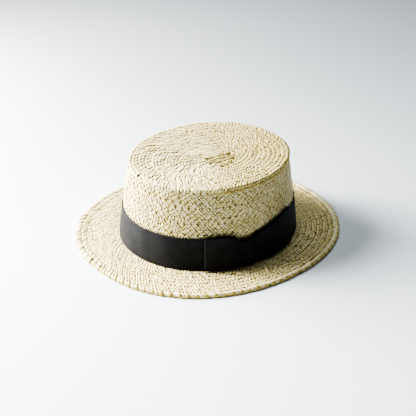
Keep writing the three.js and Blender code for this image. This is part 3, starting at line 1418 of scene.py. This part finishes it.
@dataclass
class Brim:
    """The brim: a backing sheet and the strands over it, the last row wrapped round the rim."""

    form: BrimForm
    finish: bpy.types.Material
    backing_finish: bpy.types.Material
    head_half_width: float = 88.4
    head_half_length: float = 99.6
    plait: Plait = field(default_factory=ridged_plait)
    rim_plait: Plait = field(default_factory=wrapped_plait)
    splice_plait: Plait = field(default_factory=loose_plait)
    splice_row: float = 2.6
    splice_bearing: float = math.radians(-6)
    seed: int = 21
    phase: float = 0.37  # how far each row's start is turned from the last one's
    under: float = 0.3  # how far the strands' sheet stands over the backing
    underside: float = 0.5  # height of the underside's grooves
    lip: float = 1.4  # how far the inner edge bulges up
    half_turn: float = 0.36  # rows from the rim's outermost line to the rim's top and bottom
    steps_round: int = 288
    top_steps: int = 32
    rim_steps: int = 8
    below_steps: int = 64
    lip_steps: int = 4

    def _splice(self) -> Row:
        """Finds the place of the pale end of straw that lies over two rows.

        Returns:
            A row of one strand.
        """
        start, end = self.splice_bearing - 0.1, self.splice_bearing + 0.1
        near = run_of_plait(self.form, self.splice_plait, self.splice_row, start, end)
        return near.picked(np.arange(len(near.angle)) == len(near.angle) // 2)

    def build(self) -> None:
        """Builds and dresses the two pieces."""
        layer = StrawLayer("straw_brim", self.form, self.seed)
        layer.lay(self.splice_plait, self._splice())
        for row in range(self.form.rows):
            plait = self.rim_plait if row == self.form.rows - 1 else self.plait
            start = self.phase * row
            layer.lay(plait, run_of_plait(self.form, plait, row, start, start + TURN))
        finish_piece(layer.build(), self.finish, Slot.STRAW, "brim")
        finish_piece(self._backing(), self.backing_finish, Slot.STRAW)

    def _backing(self) -> bpy.types.Object:
        """Builds the sheet under the strands, from the crown's foot round the rim and back below.

        Returns:
            The closed sheet, with the plait's back as relief on its underside.
        """
        form, rows = self.form, self.form.rows
        rim_from = self.top_steps
        under_from = rim_from + self.rim_steps
        lip_from = under_from + self.below_steps
        steps = lip_from + self.lip_steps
        loom = LoomGrid("brim_backing", self.steps_round, steps)
        piece, round_share, along_share = loom.build()
        angle = round_share * TURN
        step = np.rint(along_share * steps)

        before, after = rows - self.half_turn, rows + self.half_turn
        row_top = lerp(0.0, before, np.clip(step / rim_from, 0, 1))
        row_rim = lerp(before, after, np.clip((step - rim_from) / self.rim_steps, 0, 1))
        row = np.where(step <= rim_from, row_top, row_rim)
        points = form.place(row, angle, -self.under)

        head_axes = self.head_half_width, self.head_half_length
        head = oval_points(angle, *head_axes, form.inner_roundness, 0.0)
        back = np.clip((step - under_from) / self.below_steps, 0, 1)
        row_under = rows * (1 - back)
        rim_end = form.place(np.full_like(angle, after), angle, -self.under)
        below = lerp(rim_end, head, back[:, None])
        ripple = np.abs(np.sin(math.pi * row_under)) * smooth(back * 20)
        below[:, 2] = self.underside - self.underside * ripple
        points = np.where((step > under_from)[:, None], below, points)

        closing = np.clip((step - lip_from) / self.lip_steps, 0, 1)
        start = form.place(np.zeros_like(angle), angle, -self.under)
        lip = lerp(head, start, smooth(closing)[:, None])
        rising = lerp(self.underside, form.sheet - self.under, closing)
        lip[:, 2] = rising + self.lip * np.sin(math.pi * closing)
        points = np.where((step > lip_from)[:, None], lip, points)
        set_coordinates(piece, points * MM)
        write_uv(piece, angle * ROUND_BRIM, np.where(step > under_from, row_under, row))
        LoomGrid.close(piece)
        return piece


# ---------------------------------------------------------------- ribbon


@dataclass(frozen=True)
class Stretch:
    """A length of ribbon: for each step along it, where it runs and where its edges are."""

    bearing: Array  # radians
    stand: Array
    foot: Array
    top: Array
    run: Array  # millimetres along the ribbon


@dataclass
class RibbonPiece:
    """Ribbon laid beside the crown along a stretch, as a closed wall with raised ribs."""

    name: str
    form: CrownForm
    stretch: Stretch
    closed: bool = False
    thickness: float = 0.9
    steps_up: int = 12
    rib: float = 0.09
    weave: float = 36.0  # V across the ribbon
    pit: tuple[float, float, float] | None = None  # bearing, height and radius of a hole
    pit_depth: float = 0.25

    def build(self) -> bpy.types.Object:
        """Builds the ribbon along its stretch.

        Returns:
            The ribbon as a closed wall.
        """
        steps = len(self.stretch.bearing) - 1
        piece, run_share, up_share = LoomGrid(self.name, steps, self.steps_up).build()
        index = np.rint(run_share * steps).astype(int)
        place = self.stretch
        height = lerp(place.foot[index], place.top[index], up_share)
        edge = smooth(np.minimum(up_share, 1 - up_share) * self.steps_up * 0.75)
        rib = self.rib * (index % 2) * edge
        pit = np.zeros(len(index))
        if self.pit is not None:
            bearing, level, radius = self.pit
            along = (place.bearing[index] - bearing) * ROUND_CROWN
            pit = smooth(1 - np.hypot(along, height - level) / radius)
        stand = place.stand[index] + rib - self.pit_depth * pit
        points = self.form.side(place.bearing[index], height, stand)
        set_coordinates(piece, points * MM)
        write_uv(piece, place.run[index], up_share * self.weave)
        # the finish paints shade where the pit is deep
        write_attribute(piece, "pit", pit)
        if self.closed:
            LoomGrid.close(piece)
        thicken(piece, self.thickness, even=True)
        return piece


@dataclass(frozen=True)
class LoopTable:
    """A loop of the bow from the knot to its fold, with a row for each section."""

    bearing: tuple[float, ...]
    stand: tuple[float, ...]
    foot: tuple[float, ...]
    top: tuple[float, ...]

    def read(self, column: tuple[float, ...], bearing: Array) -> Array:
        """Reads a column, eased between rows.

        Args:
            column: One of the table's columns.
            bearing: Bearings in degrees.

        Returns:
            The column's values there.
        """
        rows = tuple(zip(self.bearing, column))
        rising = rows if rows[0][0] < rows[-1][0] else tuple(reversed(rows))
        return eased_table(rising, bearing)


@dataclass
class Band:
    """The band round the crown, gathered in under the bow's knot."""

    form: CrownForm
    finish: bpy.types.Material
    foot: float = 4.2
    head: float = 40.3
    stand: float = 1.3
    rib_pitch: float = 1.05
    sewn_at: float = 20.0  # height at which its length is measured
    pit: tuple[float, float, float] = (math.radians(-60.9), 16.4, 2.1)  # its small hole
    rises: tuple[tuple[float, float], ...] = (
        (-70, -0.6),
        (-38, 0),
        (-24, -1.4),
        (-16.5, -8.6),
        (-6.5, -8.6),
        (2, -1.4),
        (14, 0),
        (30, 0.6),
        (70, 0),
    )
    lifts: tuple[tuple[float, float], ...] = (
        (-38, 0),
        (-24, 0),
        (-16.5, 1.6),
        (-6.5, 1.6),
        (2, 1.0),
        (14, 0.6),
        (30, 0),
    )

    def build(self) -> None:
        """Builds and dresses the band."""
        fine = np.linspace(-math.pi, math.pi, 2000)
        _, run = measured(self.form.side(fine, self.sewn_at, self.stand))
        ribs = round(run[-1] / self.rib_pitch)
        even = np.linspace(0, run[-1], 2 * ribs + 1)
        bearing = np.interp(even, run, fine)
        degrees = np.degrees(bearing)
        foot = self.foot + eased_table(self.lifts, degrees)
        top = self.head + eased_table(self.rises, degrees)
        ripple = 0.12 * np.sin(3 * bearing + 1.0) + 0.08 * np.sin(11 * bearing)
        stretch = Stretch(bearing, self.stand + ripple, foot, top, even / self.rib_pitch)
        ribbon = RibbonPiece("hat_band_ribbon", self.form, stretch, closed=True, pit=self.pit)
        piece = ribbon.build()
        finish_piece(piece, self.finish, Slot.RIBBON, "hat_band")
        flat = ((self.head - self.foot) * MM, run[-1] * MM)


@dataclass
class Bow:
    """The flat bow on the wearer's left: two loops and a knot."""

    form: CrownForm
    finish: bpy.types.Material
    rib_pitch: float = 1.05
    back: float = 1.6  # how far a loop's back stands off the crown's side
    ribbon: float = 0.9
    round_bow: float = 97.0  # millimetres of one radian round the crown, at the loops
    flat_width: float = 0.036  # metres
    front: LoopTable = LoopTable(
        bearing=(-15.8, -19, -24, -31, -37.8),
        stand=(3.8, 4.2, 4.5, 4.2, 3.8),
        foot=(6, 5.8, 5.6, 5.4, 5.4),
        top=(34, 38, 40.9, 41.5, 41.1),
    )
    rear: LoopTable = LoopTable(
        bearing=(-7.2, -3, 4, 15, 26.6),
        stand=(3.8, 4.2, 4.6, 4.4, 3.8),
        foot=(6, 5.7, 5.5, 5.4, 5.5),
        top=(34, 37.7, 40.2, 43.4, 46.2),
    )
    knot_from: float = -15.3
    knot_to: float = -7.7
    knot_foot: float = 4.4
    knot_top: float = 33.2
    knot_stand: float = 4.7
    knot_flat: tuple[float, float] = (0.013, 0.036)  # metres
    knot_end: float = 1.2  # how far its ends stand off the crown's side
    knot_bulge: float = 0.5
    pleat: float = 0.22
    pleats: float = 2.5
    knot_weave: tuple[float, float] = (12.0, 30.0)  # U over it and V up it
    steps_over: int = 24
    steps_up: int = 40

    def build(self) -> None:
        """Builds and dresses the loops and the knot."""
        for name, table in (("bow_front_loop", self.front), ("bow_rear_loop", self.rear)):
            stretch = self._loop(table)
            piece = RibbonPiece(name.replace("loop", "fold"), self.form, stretch).build()
            finish_piece(piece, self.finish, Slot.RIBBON, name)
            length = (stretch.run[-1] - stretch.run[0]) * self.rib_pitch
            flat = (self.flat_width, length * MM)
        knot = self._knot()
        finish_piece(knot, self.finish, Slot.RIBBON, "bow_knot")

    def _loop(self, table: LoopTable) -> Stretch:
        """Lays a loop: out along its front, round the fold and back against the band.

        Args:
            table: The loop's sections.

        Returns:
            The stretch of ribbon that it takes.
        """
        knot, fold = table.bearing[0], table.bearing[-1]
        radius = (table.stand[-1] - self.back) / 2
        arc = math.pi * radius
        reach = abs(math.radians(fold - knot)) * self.round_bow
        total = 2 * reach + arc
        ribs = round(total / self.rib_pitch)
        even = np.linspace(0, total, 2 * ribs + 1)
        outward = math.copysign(1, fold - knot)
        out = np.clip(even / reach, 0, 1)
        turn = np.clip((even - reach) / radius, 0, math.pi)
        home = np.clip((even - reach - arc) / reach, 0, 1)
        degrees = knot + (fold - knot) * (out - home)
        along = outward * radius * np.sin(turn) / self.round_bow
        stand_out = table.read(table.stand, degrees)
        stand_fold = (table.stand[-1] + self.back) / 2 + radius * np.cos(turn)
        stand = np.where(even <= reach, stand_out, stand_fold)
        stand = np.where(even >= reach + arc, self.back, stand)
        foot = table.read(table.foot, degrees)
        top = table.read(table.top, degrees)
        return Stretch(np.radians(degrees) + along, stand, foot, top, even / self.rib_pitch)

    def _knot(self) -> bpy.types.Object:
        """Builds the knot, a gathered ribbon over the loops' ends.

        Returns:
            The knot as a closed wall.
        """
        loom = LoomGrid("bow_knot_wrap", self.steps_over, self.steps_up)
        piece, over_share, up_share = loom.build()
        bearing = np.radians(lerp(self.knot_from, self.knot_to, over_share))
        corner = smooth((1 - np.abs(up_share * 2 - 1)) * 14)
        pleat = self.pleat * np.sin(over_share * TURN * self.pleats) * corner
        bulge = self.knot_bulge * np.sin(math.pi * over_share)
        level = smooth((up_share - 0.04) / 0.92) * 0.15 + up_share * 0.85
        height = lerp(self.knot_foot, self.knot_top, level)
        stand = lerp(self.knot_end, self.knot_stand, corner) + (bulge + pleat) * corner
        set_coordinates(piece, self.form.side(bearing, height, stand) * MM)
        write_uv(piece, over_share * self.knot_weave[0], up_share * self.knot_weave[1])
        write_attribute(piece, "pit", np.zeros(len(over_share)))
        thicken(piece, self.ribbon)
        return piece


# ---------------------------------------------------------------- studio


@dataclass(frozen=True)
class SoftBox:
    """A square area light, placed by where it stands round the hat."""

    name: str
    bearing: float  # degrees round from where the camera stands, towards its right
    height: float  # degrees above the floor
    distance: float
    size: float
    power: float  # watts
    color: Color = (1.0, 1.0, 1.0)
    forward: float = 0.0  # how far in front of the hat it is aimed
    spread: float = 180.0
    aim_height: float = 0.04

    def place(self, camera_azimuth: float) -> None:
        """Adds the light.

        Args:
            camera_azimuth: The camera's bearing in radians.
        """
        data = bpy.data.lights.new(self.name, "AREA")
        data.shape = "SQUARE"
        data.size = self.size
        data.energy = self.power
        data.color = self.color
        data.spread = math.radians(self.spread)
        light = add_object(self.name, data)
        away = towards(camera_azimuth + math.radians(self.bearing), math.radians(self.height))
        middle = Vector((0, 0, self.aim_height))
        aim = middle + towards(camera_azimuth, 0) * self.forward
        light.location = middle + away * self.distance
        light.rotation_mode = "QUATERNION"
        light.rotation_quaternion = (aim - light.location).to_track_quat("-Z", "Y")


@dataclass
class Studio:
    """The pale floor, the soft lights and the camera."""

    floor_finish: bpy.types.Material
    azimuth: float = math.radians(50)
    elevation: float = math.radians(28.975)
    distance: float = 1.3037
    target: tuple[float, float, float] = (-0.00305, 0.00133, 0.02397)
    lens: float = 99.95
    sensor: float = 36.0
    roll: float = 0.011
    floor_size: float = 12.0
    sky: Color = (0.70, 0.86, 1.0)
    sky_strength: float = 0.03
    lights: tuple[SoftBox, ...] = (
        SoftBox("key", -112, 20, 0.85, 0.45, 15.5, (1.0, 0.98, 0.95)),
        SoftBox("key_middle", -84, 19, 0.85, 0.45, 3.5, (1.0, 0.98, 0.95)),
        SoftBox("floor_key", -92, 38, 1.5, 0.6, 6.0, forward=0.42, spread=55),
        SoftBox("back", 180, 62, 1.1, 0.7, 4.0, (0.90, 0.955, 1.0)),
        SoftBox("top_right", 120, 74, 1.1, 0.6, 1.3, (0.88, 0.95, 1.0)),
        SoftBox("fill", 0, 60, 1.1, 0.6, 0.3, forward=0.2),
    )

    def build(self) -> None:
        """Sets the stage, the lights and the camera."""
        self._floor()
        self._lights()
        self._camera()

    def _floor(self) -> None:
        """Adds the floor that the hat stands on."""
        hide_selection()
        bpy.ops.mesh.primitive_plane_add(size=self.floor_size, location=(0, 0, 0))
        floor = bpy.context.object
        floor.name = "studio_floor"
        floor.data.materials.append(self.floor_finish)

    def _lights(self) -> None:
        """Adds the soft lights and a faint cool light from all round."""
        world = bpy.data.worlds.new("studio")
        bpy.context.scene.world = world
        world.use_nodes = True
        background = world.node_tree.nodes["Background"]
        background.inputs["Color"].default_value = (*self.sky, 1.0)
        background.inputs["Strength"].default_value = self.sky_strength
        for light in self.lights:
            light.place(self.azimuth)

    def _camera(self) -> None:
        """Adds the camera."""
        data = bpy.data.cameras.new("camera")
        data.lens = self.lens
        data.sensor_width = self.sensor
        camera = add_object("camera", data)
        away = towards(self.azimuth, self.elevation)
        level_view = (-away).to_track_quat("-Z", "Y")
        camera.location = Vector(self.target) + away * self.distance
        camera.rotation_mode = "QUATERNION"
        camera.rotation_quaternion = level_view @ Quaternion((0, 0, 1), self.roll)
        bpy.context.scene.camera = camera


def main() -> None:
    """Builds the hat in order: crown, brim, band, bow, then the studio."""
    logging.basicConfig(level=logging.INFO, format="%(name)s: %(message)s")
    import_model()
    straw = StrawFinish().make()
    back = BackingFinish().make()
    ribbon = GrosgrainFinish().make()
    crown_form = CrownForm.from_frame()
    Crown(crown_form, straw, back).build()
    Brim(BrimForm.from_frame(), straw, back).build()
    Band(crown_form, ribbon).build()
    Bow(crown_form, ribbon).build()
    Studio(FloorFinish().make()).build()
    bpy.context.scene.view_settings.view_transform = "AgX"
    bpy.context.scene.view_settings.look = "AgX - Very High Contrast"


if __name__ == "__main__":
    main()
